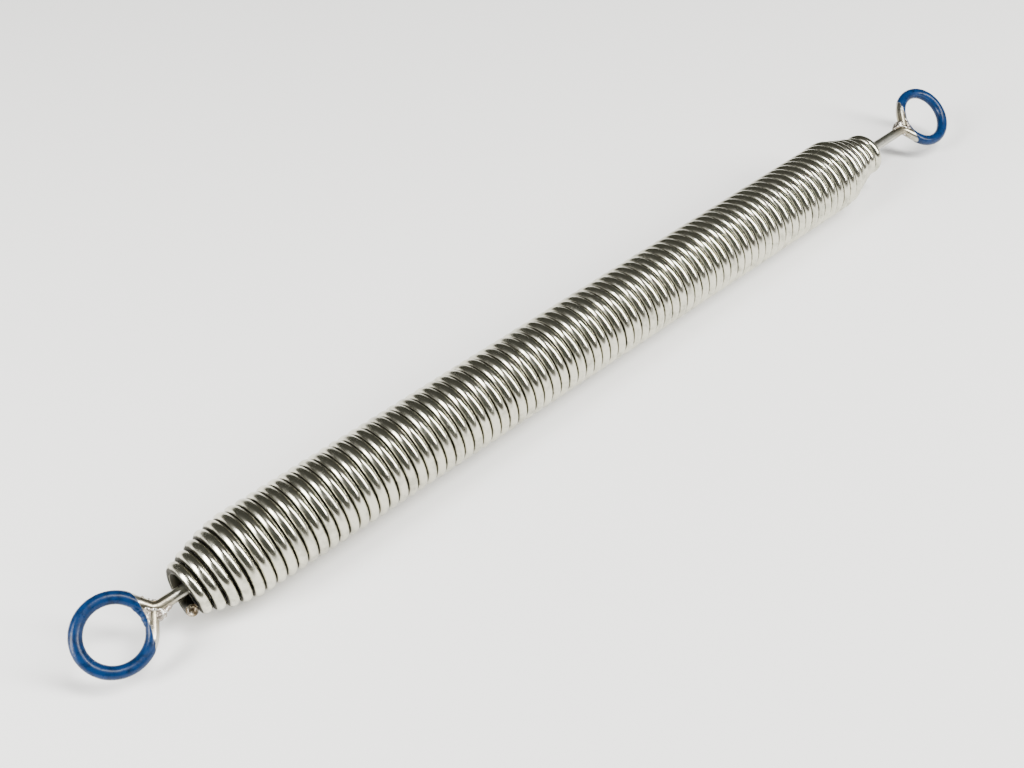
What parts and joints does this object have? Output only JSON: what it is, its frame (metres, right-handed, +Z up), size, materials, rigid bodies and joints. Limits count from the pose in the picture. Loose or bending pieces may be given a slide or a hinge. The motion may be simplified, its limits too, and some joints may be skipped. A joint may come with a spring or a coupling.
{
  "type": "door extension spring",
  "caption": "Long close-wound steel extension spring with coned ends, each trapping the head of a freely turning, welded ring eye whose ring is coated blue.",
  "frame": {"origin": "centre of the near eye's hole, which lies on the spring's axis", "axes": "+X along the spring's axis from the near eye to the far eye, +Z up; both rings lie in the plane through X that is turned 34 degrees up from +Y"},
  "size_m": [0.6427, 0.0452, 0.0452],
  "materials": {
    "spring_steel": "bright drawn spring wire, glossy, slightly oily",
    "eye_steel": "glossy blue dip coat on the ring; bare bright steel on neck, weld and shank"
  },
  "bodies": {
    "coil": {"coil": "spring_steel"},
    "near_eye": {"near_eye": "eye_steel"},
    "far_eye": {"far_eye": "eye_steel"}
  },
  "joints": [
    {"name": "near_swivel", "type": "hinge", "parent": "near_eye", "child": "coil", "pos_m": [0, 0, 0], "axis": [1, 0, 0], "continuous": true},
    {"name": "far_swivel", "type": "hinge", "parent": "coil", "child": "far_eye", "pos_m": [0.60232, 0, 0], "axis": [1, 0, 0], "continuous": true}
  ]
}
